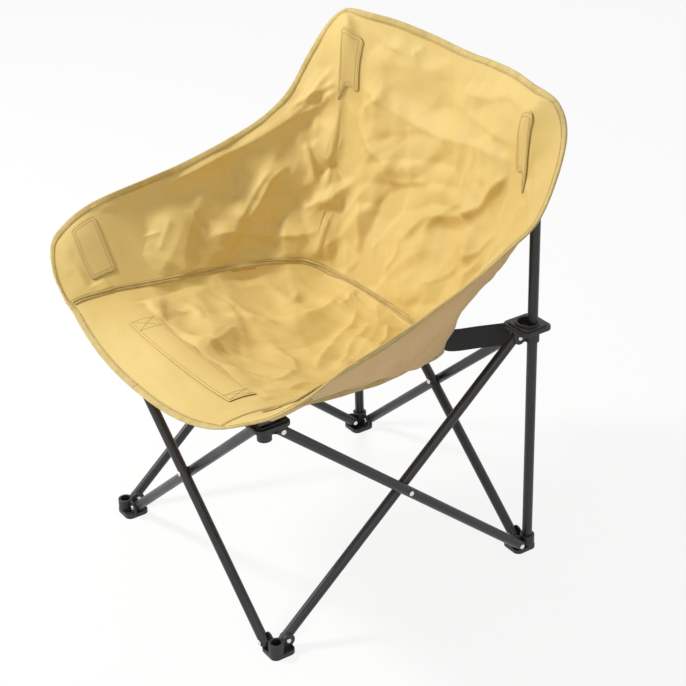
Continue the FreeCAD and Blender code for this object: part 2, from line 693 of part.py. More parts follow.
def strap_at(place, share):
    """A point of the strap. share runs from -1 at its lower edge to 1 at its upper edge."""
    held = min(max(place, 0), len(strap_points) - 1)
    return on_curve(strap_points, held) + Vec(0, 0, share * strap_width / 2)


strap_grid = [[(place, share) for share in (-1, -0.3, 0.3, 1)]
              for place in steps_between(0, len(strap_points) - 1, 31)]
nodes["back_strap"] = make_sheet(strap_at, strap_grid, strap_thickness, 0)

# The rim reaches furthest to the front and back. The whole chair is moved to the middle between
rim_reach = nodes["rim_binding"].optimalBoundingBox(False, False)
to_middle = -(rim_reach.YMin + rim_reach.YMax) / 2
for shape in nodes.values():
    shape.translate(Vec(0, to_middle, 0))
print("moved back by", round(to_middle, 4))

os.makedirs("parts", exist_ok=True)
for name, shape in nodes.items():
    shape.exportStep("parts/" + name + ".step")
    print(name, len(shape.Solids), round(shape.Volume), shape.isValid())
print(len(nodes), "nodes")
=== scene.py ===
import bpy
import bmesh
import json
import math
import numpy as np
from mathutils import Matrix, Vector, noise


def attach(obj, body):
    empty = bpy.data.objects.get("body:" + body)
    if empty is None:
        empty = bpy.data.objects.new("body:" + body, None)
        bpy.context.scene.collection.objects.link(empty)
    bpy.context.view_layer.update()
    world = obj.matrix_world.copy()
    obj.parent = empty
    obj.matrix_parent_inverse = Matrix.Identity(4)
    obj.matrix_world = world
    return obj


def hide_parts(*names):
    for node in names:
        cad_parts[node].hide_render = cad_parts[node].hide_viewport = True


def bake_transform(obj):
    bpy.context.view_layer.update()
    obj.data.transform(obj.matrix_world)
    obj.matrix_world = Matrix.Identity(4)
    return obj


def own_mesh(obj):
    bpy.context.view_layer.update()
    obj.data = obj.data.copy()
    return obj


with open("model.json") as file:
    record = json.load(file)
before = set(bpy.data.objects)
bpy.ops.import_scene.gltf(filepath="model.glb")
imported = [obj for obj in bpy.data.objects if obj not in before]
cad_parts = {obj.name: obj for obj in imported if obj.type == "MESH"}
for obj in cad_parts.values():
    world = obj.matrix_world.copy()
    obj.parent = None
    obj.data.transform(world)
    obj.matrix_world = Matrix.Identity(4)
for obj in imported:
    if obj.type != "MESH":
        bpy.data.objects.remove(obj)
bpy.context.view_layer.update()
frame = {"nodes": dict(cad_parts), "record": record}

# Camera: the photograph's own viewing angle, above the front right corner of the chair and well
# back from it, with the horizon leaning a little.
turn = math.radians(56.9)
tilt = math.radians(28.66)
lean = math.radians(-1.78)
back_way = Vector((math.sin(turn) * math.cos(tilt), -math.cos(turn) * math.cos(tilt), math.sin(tilt)))
level = Vector((0, 0, 1)).cross(back_way).normalized()
upright = back_way.cross(level)
right_way = level * math.cos(lean) + upright * math.sin(lean)
up_way = upright * math.cos(lean) - level * math.sin(lean)
camera_data = bpy.data.cameras.new("photo_camera")
camera = bpy.data.objects.new("photo_camera", camera_data)
bpy.context.scene.collection.objects.link(camera)
eye = (2.0699, -1.2870, 1.6835)
camera.matrix_world = Matrix.Translation(eye) @ Matrix((right_way, up_way, back_way)).transposed().to_4x4()
focal_pixels = 1775.3
photo_pixels = 686
camera_data.sensor_width = 36.0
camera_data.lens = focal_pixels / photo_pixels * 36.0
camera_data.clip_start = 0.1
camera_data.clip_end = 60.0
bpy.context.scene.camera = camera

# Studio floor and surround: a white sweep. What the camera and reflections see of it is nearly
# white, and the chair's soft shadow stays on it.
def seen_directly(tree):
    """1 for what the camera or a reflection sees, and 0 for what only lights the chair."""
    path = tree.nodes.new("ShaderNodeLightPath")
    seen = tree.nodes.new("ShaderNodeMath")
    seen.operation = "MAXIMUM"
    tree.links.new(path.outputs["Is Camera Ray"], seen.inputs[0])
    tree.links.new(path.outputs["Is Glossy Ray"], seen.inputs[1])
    return seen.outputs["Value"]


floor_reach = 40.0
floor_mesh = bpy.data.meshes.new("floor")
floor_mesh.from_pydata([(-floor_reach, -floor_reach, 0), (floor_reach, -floor_reach, 0),
                        (floor_reach, floor_reach, 0), (-floor_reach, floor_reach, 0)], [], [(0, 1, 2, 3)])
floor = bpy.data.objects.new("floor", floor_mesh)
bpy.context.scene.collection.objects.link(floor)
floor_finish = bpy.data.materials.new("pale_floor")
floor_finish.use_nodes = True
tree = floor_finish.node_tree
floor_shader = tree.nodes["Principled BSDF"]
floor_shader.inputs["Base Color"].default_value = (0.93, 0.93, 0.925, 1)
floor_shader.inputs["Roughness"].default_value = 0.85
floor_shader.inputs["Specular IOR Level"].default_value = 0.15
white = tree.nodes.new("ShaderNodeEmission")
paler = tree.nodes.new("ShaderNodeMath")
paler.operation = "MULTIPLY"
paler.inputs[1].default_value = 0.86
tree.links.new(seen_directly(tree), paler.inputs[0])
sweep = tree.nodes.new("ShaderNodeMixShader")
tree.links.new(paler.outputs["Value"], sweep.inputs["Fac"])
tree.links.new(floor_shader.outputs["BSDF"], sweep.inputs[1])
tree.links.new(white.outputs["Emission"], sweep.inputs[2])
tree.links.new(sweep.outputs["Shader"], tree.nodes["Material Output"].inputs["Surface"])
floor_mesh.materials.append(floor_finish)
world = bpy.data.worlds.new("studio")
bpy.context.scene.world = world
world.use_nodes = True
tree = world.node_tree
surround = tree.nodes["Background"]
surround.inputs["Color"].default_value = (1.0, 0.99, 0.97, 1)
strength = tree.nodes.new("ShaderNodeMapRange")
strength.inputs["To Min"].default_value = 0.47
strength.inputs["To Max"].default_value = 1.0
tree.links.new(seen_directly(tree), strength.inputs["Value"])
tree.links.new(strength.outputs["Result"], surround.inputs["Strength"])

# Lamps: one soft key from the front left, high up, so the wall on that side stays in half shade,
# and a weak fill from the other side.
for name, place, size, power in [("key_light", (-1.7, -1.6, 2.5), 0.6, 84.0),
                                 ("fill_light", (2.4, -1.0, 1.6), 2.0, 9.0)]:
    light_data = bpy.data.lights.new(name, "AREA")
    light_data.shape = "DISK"
    light_data.size = size
    light_data.energy = power
    light = bpy.data.objects.new(name, light_data)
    bpy.context.scene.collection.objects.link(light)
    light.location = place
    light.rotation_mode = "QUATERNION"
    light.rotation_quaternion = (Vector((0, 0, 0.4)) - Vector(place)).to_track_quat("-Z", "Y")
bpy.context.scene.view_settings.view_transform = "Standard"

# Tubes and posts: round steel tube, 16 mm across, powder-coated satin black. The coat has a
# faint orange peel and is duller in patches where it has been handled.
def new_finish(name, roughness):
    """A material, its shader, the piece's own coordinates, and a call that adds a linked node."""
    finish = bpy.data.materials.new(name)
    finish.use_nodes = True
    tree = finish.node_tree
    shader = tree.nodes["Principled BSDF"]
    shader.inputs["Roughness"].default_value = roughness
    place = tree.nodes.new("ShaderNodeTexCoord").outputs["Object"]

    def add(kind, values=None, **settings):
        node = tree.nodes.new(kind)
        for key, value in settings.items():
            setattr(node, key, value)
        for key, value in (values or {}).items():
            if isinstance(value, bpy.types.NodeSocket):
                tree.links.new(value, node.inputs[key])
            else:
                node.inputs[key].default_value = value
        return node

    return finish, shader, place, add


def tint(finish, add, factor, low, high, low_colour, high_colour):
    """Colours a finish between two colours as the factor passes from low to high."""
    share = add("ShaderNodeMapRange", {"Value": factor, "From Min": low, "From Max": high})
    mix = add("ShaderNodeMix", {"Factor": share.outputs["Result"]}, data_type="RGBA")
    mix.inputs["A"].default_value = (*low_colour, 1)
    mix.inputs["B"].default_value = (*high_colour, 1)
    tree = finish.node_tree
    tree.links.new(mix.outputs["Result"], tree.nodes["Principled BSDF"].inputs["Base Color"])


def roughen(finish, add, factor, low, high, least, most):
    """Varies a finish's roughness from least to most as the factor passes from low to high."""
    share = add("ShaderNodeMapRange", {"Value": factor, "From Min": low, "From Max": high,
                                       "To Min": least, "To Max": most})
    tree = finish.node_tree
    tree.links.new(share.outputs["Result"], tree.nodes["Principled BSDF"].inputs["Roughness"])


def emboss(finish, add, heights):
    """Adds layers of fine relief, each a height, its strength and its depth in metres."""
    before = None
    for height, strength, depth in heights:
        values = {"Height": height, "Strength": strength, "Distance": depth}
        if before:
            values["Normal"] = before
        before = add("ShaderNodeBump", values).outputs["Normal"]
    tree = finish.node_tree
    tree.links.new(before, tree.nodes["Principled BSDF"].inputs["Normal"])


def finish_nodes(slot, finish):
    """Gives every CAD node of one of the record's material slots a finish."""
    for part in frame["record"]["subparts"]:
        if part["material_slot"] == slot:
            materials = frame["nodes"][part["node"]].data.materials
            materials.clear()
            materials.append(finish)


tube_paint, shader, place, add = new_finish("black_tube_paint", 0.38)
handled = add("ShaderNodeTexNoise", {"Vector": place, "Scale": 14.0, "Detail": 5.0}).outputs["Fac"]
peel = add("ShaderNodeTexNoise", {"Vector": place, "Scale": 900.0, "Detail": 2.0}).outputs["Fac"]
tint(tube_paint, add, handled, 0.35, 0.7, (0.010, 0.010, 0.011), (0.022, 0.022, 0.024))
roughen(tube_paint, add, handled, 0.3, 0.7, 0.30, 0.46)
emboss(tube_paint, add, [(peel, 0.12, 0.0004)])
finish_nodes("tube_paint", tube_paint)

# Corner mouldings, end plugs, post caps and arms: black nylon, moulded, with a fine spark-eroded
# grain and paler rubbed areas.
black_nylon, shader, place, add = new_finish("black_nylon", 0.5)
rubbed = add("ShaderNodeTexNoise", {"Vector": place, "Scale": 40.0, "Detail": 4.0}).outputs["Fac"]
grain = add("ShaderNodeTexVoronoi", {"Vector": place, "Scale": 1600.0}).outputs["Distance"]
tint(black_nylon, add, rubbed, 0.35, 0.75, (0.008, 0.008, 0.009), (0.026, 0.026, 0.027))
roughen(black_nylon, add, rubbed, 0.3, 0.75, 0.42, 0.6)
emboss(black_nylon, add, [(grain, 0.25, 0.0003)])
finish_nodes("black_plastic", black_nylon)

# Rivets: zinc-plated steel with rounded heads, two through each foot and hub and one through
# each crossing. The plating is bright with dull specks.
zinc, shader, place, add = new_finish("zinc_rivet", 0.25)
shader.inputs["Metallic"].default_value = 1.0
specks = add("ShaderNodeTexNoise", {"Vector": place, "Scale": 350.0, "Detail": 4.0}).outputs["Fac"]
tint(zinc, add, specks, 0.3, 0.7, (0.62, 0.61, 0.58), (0.88, 0.88, 0.86))
roughen(zinc, add, specks, 0.3, 0.7, 0.16, 0.4)
finish_nodes("rivet_steel", zinc)

# Walls of the cover: golden yellow coated polyester, one panel on each side and one between the
# rear posts, cut flat and sewn into a bucket. They hang from the arms and post tops and crease
# from there, low down and along a line below the rim. The outside is duller and pinker.
to_middle = 0.01026

# Stations round the right half, in millimetres, from the front edge to the middle of the back.
# Each is five points from the seam up to the rim.
wall = np.array([
    [(227, -305, 415), (228, -306, 416), (229, -307, 417), (230, -308, 418), (231, -309, 419)],
    [(227, -284, 419), (242, -289, 427), (258, -294, 434), (273, -298, 441), (287, -302, 449)],
    [(226, -250, 419), (253, -257, 433), (280, -265, 448), (308, -272, 463), (335, -279, 476)],
    [(228, -218, 417), (259, -224, 436), (290, -231, 457), (321, -237, 480), (352, -244, 495)],
    [(231, -183, 411), (262, -188, 435), (293, -194, 461), (325, -201, 488), (355, -208, 511)],
    [(230, -145, 407), (261, -149, 430), (294, -153, 458), (325, -159, 489), (351, -168, 523)],
    [(229, -80, 401), (262, -79, 429), (297, -80, 462), (324, -84, 498), (344, -92, 537)],
    [(225, -20, 396), (257, -15, 427), (292, -13, 467), (319, -16, 510), (337, -20, 552)],
    [(214, 40, 392), (245, 48, 428), (273, 52, 475), (302, 57, 526), (330, 62, 576)],
    [(203, 80, 388), (229, 90, 433), (251, 103, 488), (280, 109, 546), (325, 122, 600)],
    [(194, 98, 386), (214, 122, 440), (233, 158, 515), (280, 178, 580), (327, 172, 632)],
    [(185, 110, 383), (203, 146, 460), (227, 191, 565), (268, 218, 650), (320, 212, 692)],
    [(177, 117, 380), (197, 163, 478), (229, 212, 600), (248, 225, 710), (302, 240, 742)],
    [(170, 122, 378), (189, 175, 484), (218, 223, 612), (231, 229, 746), (266, 253, 772)],
    [(150, 130, 372), (165, 184, 480), (187, 228, 602), (197, 238, 710), (204, 259, 779)],
    [(117, 141, 366), (128, 187, 480), (137, 226, 590), (142, 249, 700), (145, 275, 777)],
    [(60, 151, 359), (66, 197, 475), (70, 234, 580), (72, 262, 685), (74, 291, 769)],
    [(0, 155, 357), (0, 201, 475), (0, 240, 580), (0, 268, 680), (0, 297, 763)],
], float) / 1000 + np.array([0, to_middle, 0])
right_post = 13
left_post = 21
last_place = 34
all_stations = np.concatenate([wall, wall[-2::-1] * np.array([-1, 1, 1])])
cloth_thickness = 0.0016


def along(points, places):
    """A smooth line or surface through evenly numbered points, at fractional numbers."""
    places = np.asarray(places, float)
    ends = np.concatenate([[2 * points[0] - points[1]], points, [2 * points[-1] - points[-2]]])
    first = np.clip(places.astype(int), 0, len(points) - 2)
    part = (places - first).reshape((-1,) + (1,) * (points.ndim - 1))
    before, near, far, after = (ends[first + offset] for offset in range(4))
    return (near * (2 * part**3 - 3 * part**2 + 1) + (far - before) / 2 * (part**3 - 2 * part**2 + part)
            + far * (3 * part**2 - 2 * part**3) + (after - near) / 2 * (part**3 - part**2))


def wall_points(places, shares):
    """Points of the wall, a row for each place round it. shares run by length from 0 at the seam
    to 1 at the rim, and may be one list or one for each place."""
    rows = []
    shares = np.asarray(shares, float)
    for number, column in enumerate(along(all_stations, places)):
        steps = np.linalg.norm(np.diff(column, axis=0), axis=1)
        reached = np.concatenate([[0], np.cumsum(steps)]) / steps.sum()
        wanted = shares if shares.ndim == 1 else shares[number]
        rows.append(along(column, np.interp(wanted, reached, np.arange(5))))
    return np.array(rows)


def unit(vectors):
    return vectors / np.maximum(np.linalg.norm(vectors, axis=-1, keepdims=True), 1e-9)


def grid_normals(points):
    """Unit normals of a grid of points: towards the sitter on the walls, up on the seat."""
    return unit(np.cross(np.gradient(points, axis=1), np.gradient(points, axis=0)))


def step(values, low, high):
    """Rises smoothly from 0 at low to 1 at high."""
    share = np.clip((values - low) / (high - low), 0, 1)
    return share * share * (3 - 2 * share)


def placed_folds(folds, surface):
    """Lays folds on a surface. Each is a line of places and shares, its height, and how far it
    spreads on the right and on the left of the line, in millimetres. They come back in metres."""
    placed = []
    for line, height, right_spread, left_spread in folds:
        smooth_line = along(np.array(line, float), np.linspace(0, len(line) - 1, 4 * len(line)))
        route = np.array([surface([place], [share])[0, 0] for place, share in smooth_line])
        placed.append((route, height / 1000, right_spread / 1000, left_spread / 1000))
    return placed


def fold_heights(points, normals, folds):
    """How far placed folds lift the cloth. The side with the short spread is the steep one, and
    every fold fades out at both ends."""
    crest_radius = 0.0012
    fade = 0.22
    total = np.zeros(points.shape[:2])
    for line, height, right_spread, left_spread in folds:
        lengths = np.linalg.norm(np.diff(line, axis=0), axis=1)
        starts = np.concatenate([[0], np.cumsum(lengths)])
        reach = 4 * max(right_spread, left_spread)
        inside = ((points > line.min(0) - reach) & (points < line.max(0) + reach)).all(-1)
        chosen, up = points[inside], normals[inside]
        near = np.full(len(chosen), np.inf)
        side, travelled = np.zeros(len(chosen)), np.zeros(len(chosen))
        for number, (start, end) in enumerate(zip(line[:-1], line[1:])):
            way = (end - start) / lengths[number]
            share = np.clip((chosen - start) @ way, 0, lengths[number])
            off = chosen - start - share[:, None] * way
            distance = np.linalg.norm(off, axis=1)
            closer = distance < near
            near[closer] = distance[closer]
            side[closer] = (np.cross(way, off[closer]) * up[closer]).sum(1)
            travelled[closer] = (starts[number] + share[closer]) / starts[-1]
        spread = right_spread + (left_spread - right_spread) * step(side, -0.001, 0.001)
        crest = np.exp(-(np.sqrt(near**2 + crest_radius**2) - crest_radius) / spread)
        ends = step(travelled, -0.02, fade) * step(1 - travelled, -0.02, fade)
        total[inside] += height * crest * ends
    return total


def crumple(points, weight, seed):
    """The creases that coated cloth keeps from lying folded: sharp and nearly straight, in many
    directions, with smooth hollows between them, and each only in some places."""
    pitches = [0.17, 0.12, 0.085, 0.06] * 3 + [0.038] * 4
    slope = 0.034
    dice = np.random.default_rng(seed)
    noise.seed_set(seed)  # noise_vector starts from the clock otherwise
    flat = points.reshape(-1, 3)
    warp = np.array([noise.noise_vector(Vector(spot) * 7.0) for spot in flat])
    heights = np.zeros(len(flat))
    for number, pitch in enumerate(pitches):
        way = unit(dice.normal(size=3))
        bend = warp @ dice.normal(size=3) * 0.022
        phase = (flat @ way + bend) / pitch + dice.random()
        crease = 1 - 2 * np.sqrt(np.sin(np.pi * phase) ** 2 + 0.0012)
        elsewhere = Vector(dice.normal(size=3) * 5)
        patchy = np.array([noise.noise(Vector(spot) * 6.5 + elsewhere) for spot in flat])
        heights += (-1 if number % 3 == 2 else 1) * crease * slope * pitch * step(patchy, -0.02, 0.22)
    return heights.reshape(weight.shape) * weight


def smooth_piece(name, vertices, faces, finishes, face_finish=None, normals=None):
    """A smooth-shaded mesh object at the origin."""
    mesh = bpy.data.meshes.new(name)
    mesh.from_pydata([tuple(v) for v in vertices], [], faces)
    for finish in finishes:
        mesh.materials.append(finish)
    if face_finish is not None:
        mesh.polygons.foreach_set("material_index", np.asarray(face_finish, np.int32))
    mesh.polygons.foreach_set("use_smooth", np.ones(len(mesh.polygons), bool))
    mesh.update()
    if normals is not None:
        mesh.normals_split_custom_set_from_vertices([tuple(n) for n in normals])
    piece = bpy.data.objects.new(name, mesh)
    bpy.context.scene.collection.objects.link(piece)
    return piece


def cloth_piece(name, points, shading, thickness, finishes):
    """A closed thin sheet over a grid: the first finish on the sitter's side, the last outside."""
    rows, columns = points.shape[:2]
    count = rows * columns
    inner = (points + shading * thickness / 2).reshape(-1, 3)
    outer = (points - shading * thickness / 2).reshape(-1, 3)
    index = np.arange(count).reshape(rows, columns)
    a, b, c, d = (part.ravel() for part in (index[:-1, :-1], index[:-1, 1:], index[1:, 1:], index[1:, :-1]))
    loop = np.concatenate([index[0, :-1], index[:-1, -1], index[-1, :0:-1], index[:0:-1, 0]])
    following = np.roll(loop, -1)
    faces = np.concatenate([np.stack([a, b, c, d], 1), np.stack([d, c, b, a], 1) + count,
                            np.stack([following, loop, loop + count, following + count], 1)])
    face_finish = [0] * len(a) + [len(finishes) - 1] * (len(a) + len(loop))
    shades = np.concatenate([shading.reshape(-1, 3), -shading.reshape(-1, 3)])
    return smooth_piece(name, np.concatenate([inner, outer]), faces.tolist(), finishes, face_finish, shades)


def cloth_finish(name, dark, light, roughness, sheen):
    """Coated polyester: plain weave, fine crinkle, soft mottling and a slight sheen."""
    finish, shader, place, add = new_finish(name, roughness)
    broad = add("ShaderNodeTexNoise", {"Vector": place, "Scale": 5.0, "Detail": 2.0}).outputs["Fac"]
    tint(finish, add, broad, 0.3, 0.7, dark, light)
    roughen(finish, add, broad, 0.3, 0.7, roughness - 0.05, roughness + 0.06)
    shader.inputs["Sheen Weight"].default_value = sheen
    shader.inputs["Sheen Roughness"].default_value = 0.4
    shader.inputs["Specular IOR Level"].default_value = 0.28
    threads = [add("ShaderNodeTexWave", {"Vector": place, "Scale": 420.0, "Distortion": 0.6},
                   bands_direction=axis).outputs["Fac"] for axis in "XYZ"]
    weave = add("ShaderNodeMath", {0: threads[0], 1: threads[1]}, operation="MULTIPLY").outputs["Value"]
    weave = add("ShaderNodeMath", {0: weave, 1: threads[2]}, operation="ADD").outputs["Value"]
    crinkle = add("ShaderNodeTexNoise", {"Vector": place, "Scale": 55.0, "Detail": 2.0,
                                         "Distortion": 0.8}).outputs["Fac"]
    emboss(finish, add, [(crinkle, 0.12, 0.0018), (weave, 0.2, 0.00025)])
    return finish


inside_cloth = cloth_finish("inside_cloth", (0.645, 0.465, 0.150), (0.725, 0.535, 0.195), 0.58, 0.10)
outside_cloth = cloth_finish("outside_cloth", (0.63, 0.425, 0.205), (0.70, 0.485, 0.24), 0.72, 0.05)
places = np.unique(np.concatenate([np.linspace(0.0, 1.5, 28), np.linspace(1.5, 32.5, 560),
                                   np.linspace(32.5, 34.0, 28), [right_post, left_post]]))
shares = np.linspace(0, 1, 112)
round_it, rise = np.meshgrid(places, shares, indexing="ij")
from_front = np.minimum(round_it, last_place - round_it)
from_post = np.minimum(abs(round_it - right_post), abs(round_it - left_post))
smooth_wall = wall_points(places, shares)
wall_normals = grid_normals(smooth_wall)

# Where folds run, as places round the wall and shares up it: the long ridges below the rim, the
# rays from the post pockets, the creases of the low back, and those of the near wall.
wall_folds = [
    ([(21.4, 0.80), (22.6, 0.84), (24.0, 0.865), (25.4, 0.875), (26.6, 0.91), (28.2, 0.88)], 9, 34, 15),
    ([(20.9, 0.73), (19.6, 0.715), (18.4, 0.68), (17.1, 0.675), (15.6, 0.70), (13.4, 0.71)], 9, 34, 15),
    ([(21.9, 0.70), (23.0, 0.80), (23.7, 0.875), (24.3, 0.93)], 4, 7, 4),
    ([(21.9, 0.68), (23.1, 0.76), (23.8, 0.82), (24.5, 0.87)], 3.5, 8, 4),
    ([(21.4, 0.68), (20.4, 0.59), (19.3, 0.505), (18.65, 0.475), (18.3, 0.38)], 4, 6, 15),
    ([(18.7, 0.46), (18.3, 0.43), (17.65, 0.47), (17.1, 0.50)], 4, 9, 5),
    ([(18.15, 0.66), (17.9, 0.56), (17.7, 0.455)], 3, 5, 9),
    ([(24.2, 0.70), (24.1, 0.57), (23.9, 0.44)], 5, 6, 11),
    ([(24.0, 0.67), (23.55, 0.53), (22.8, 0.475)], 3, 6, 13),
    ([(25.1, 0.65), (25.7, 0.55), (26.2, 0.42), (26.5, 0.33)], 5, 13, 7),
    ([(24.6, 0.62), (25.2, 0.57), (25.75, 0.44), (26.35, 0.33)], 6, 15, 7),
    ([(24.1, 0.50), (22.6, 0.42), (20.6, 0.32)], -8, 24, 20),
    ([(24.4, 0.33), (22.9, 0.29), (21.0, 0.23)], 5, 16, 8),
    ([(27.4, 0.33), (26.4, 0.27), (25.4, 0.19), (23.7, 0.15), (22.0, 0.16)], 4.5, 6, 12),
    ([(27.25, 0.33), (27.4, 0.48), (27.35, 0.62)], 3, 5, 9),
    ([(28.6, 0.30), (28.3, 0.45), (28.0, 0.60)], 3, 12, 7),
    ([(29.4, 0.50), (28.9, 0.52), (28.3, 0.48)], 2.5, 7, 4),
    ([(15.6, 0.43), (14.95, 0.52), (14.6, 0.60), (14.05, 0.67)], 9, 8, 17),
    ([(17.6, 0.22), (17.1, 0.35), (16.5, 0.40), (15.4, 0.46), (15.2, 0.52)], 6, 8, 14),
    ([(16.9, 0.32), (16.2, 0.44), (15.7, 0.49)], 4, 6, 10),
    ([(17.9, 0.10), (17.6, 0.20), (17.7, 0.29)], 4, 6, 10),
    ([(19.9, 0.955), (19.2, 0.905), (18.6, 0.90), (18.15, 0.86)], 4, 6, 14),
    ([(18.2, 0.95), (18.45, 0.90)], 3, 5, 9),
    ([(13.7, 0.88), (14.7, 0.915), (15.8, 0.87), (16.7, 0.86)], 4, 15, 8),
    ([(13.8, 0.78), (15.0, 0.765), (16.2, 0.79), (17.2, 0.83)], 3, 14, 8),
    ([(20.3, 0.62), (19.6, 0.66), (18.9, 0.72)], 3, 10, 6),
    ([(15.2, 0.30), (14.4, 0.36), (13.8, 0.45)], 4, 7, 13),
    ([(16.3, 0.14), (15.6, 0.21), (15.2, 0.29)], 4, 7, 13),
    ([(19.3, 0.30), (19.0, 0.20), (18.9, 0.11)], 3.5, 7, 12),
    ([(12.6, 0.80), (11.2, 0.84), (9.8, 0.865), (8.4, 0.88), (7.0, 0.91), (5.8, 0.88)], 8, 15, 34),
    ([(12.2, 0.68), (11.0, 0.77), (10.2, 0.84)], 3.5, 4, 8),
    ([(9.9, 0.68), (10.1, 0.55), (10.4, 0.42)], 4, 10, 6),
    ([(8.9, 0.64), (8.3, 0.53), (7.8, 0.40), (7.5, 0.30)], 5, 7, 14),
    ([(10.6, 0.36), (9.2, 0.24), (7.6, 0.20), (6.4, 0.27)], 4, 12, 6),
    ([(6.8, 0.34), (6.6, 0.50), (6.7, 0.62)], 3, 9, 5),
    ([(12.0, 0.50), (11.2, 0.42), (10.6, 0.30)], 5, 13, 7),
]

# Where the cloth is sewn down or drawn tight, and where it is free to fold. It lifts freely towards
# the sitter, but sinks little or not at all where an arm, a post or the strap stands behind it.
leant = from_front - 1.2 * (rise - 0.24)
under_front_patch = (step(leant, 1.6, 2.1) * step(-leant, -4.0, -3.55)
                     * step(rise, 0.14, 0.22) * step(-rise, -0.97, -0.90))
behind_post = np.minimum(abs(round_it - 12.75), abs(round_it - 21.25))
under_back_patch = step(-behind_post, -1.6, -1.1) * step(rise, 0.58, 0.66) * step(-rise, -0.96, -0.91)
sewn = np.clip((1 - rise) / 0.10, 0, 1) * np.clip(rise / 0.05, 0, 1) * step(from_front, 0.4, 4.0)
freedom = sewn * (1 - under_front_patch) * (1 - under_back_patch)
low_down = 1 - 0.45 * step(rise, 0.5, 0.9)
near_wall = 1 - 0.5 * step(-round_it, -12.0, -10.5)
by_corner = 1 - 0.6 * step(-from_post, -2.4, -1.0) * step(rise, 0.25, 0.4)
placed = placed_folds(wall_folds, wall_points)
heights = (1.35 * fold_heights(smooth_wall, wall_normals, placed) * freedom
           + crumple(smooth_wall, freedom * low_down * near_wall * by_corner, 3))
near_arm = step(-from_front, -6.5, -5.0)
near_post = step(-from_post, -1.6, -0.9) * step(rise, 0.35, 0.5)
near_strap = 0.7 * step(-from_post, -13.0, 0.0) * step(-rise, -0.30, -0.16)
outward_room = 0.012 * (1 - np.maximum(np.maximum(near_arm, near_post), near_strap)) + 0.0003
heights = np.maximum(heights, -outward_room)
wall_cloth = smooth_wall + wall_normals * heights[..., None]
wall_shading = grid_normals(wall_cloth)
first_post = int(np.searchsorted(places, right_post))
second_post = int(np.searchsorted(places, left_post))


# Each side's pieces stay where they are made, and what hangs between the posts goes with the
# left back foot's body.
def move_right(piece):
    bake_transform(piece)


def move_left(piece):
    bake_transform(piece)


def gather_back(piece):
    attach(piece, "back_left_base")
    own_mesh(piece)


move = {"right": move_right, "left": move_left, "back": gather_back}
for side, node, span in [("right", "right_side_panel", slice(0, first_post + 1)),
                         ("back", "back_panel", slice(first_post, second_post + 1)),
                         ("left", "left_side_panel", slice(second_post, len(places)))]:
    piece = cloth_piece(side + "_wall", wall_cloth[span], wall_shading[span], cloth_thickness,
                        [inside_cloth, outside_cloth])
    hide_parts(node)
    move[side](piece)

# Seat: one panel of the same cloth, sewn to the walls in a U, with a free front edge. It is
# dished under the sitter and crumpled behind the strip. It is made as two halves, one for each side.
seat_middle = np.array([(0, y, z) for y, z in [
    (-319, 378), (-286, 390), (-251, 399), (-218, 400), (-183, 391), (-145, 376), (-80, 357), (-20, 348),
    (40, 345), (82, 346), (100, 347), (112, 348), (120, 349), (126, 350), (134, 351), (144, 353),
    (152, 356), (155, 357)]], float) / 1000 + np.array([0, to_middle, 0])


def seat_points(places, shares):
    """Points of the seat, a row for each place. shares run from -1 at the left seam to 1 at the
    right one."""
    edges = along(wall[:, 0], places)
    middles = along(seat_middle, places)
    shares = np.asarray(shares, float)
    across = np.abs(shares)[None, :]
    result = np.zeros((len(edges), len(shares), 3))
    result[..., 0] = shares[None, :] * edges[:, 0:1]
    result[..., 1] = middles[:, 1:2] + (edges[:, 1:2] - middles[:, 1:2]) * across**2
    result[..., 2] = middles[:, 2:3] + (edges[:, 2:3] - middles[:, 2:3]) * across**2.6
    return result


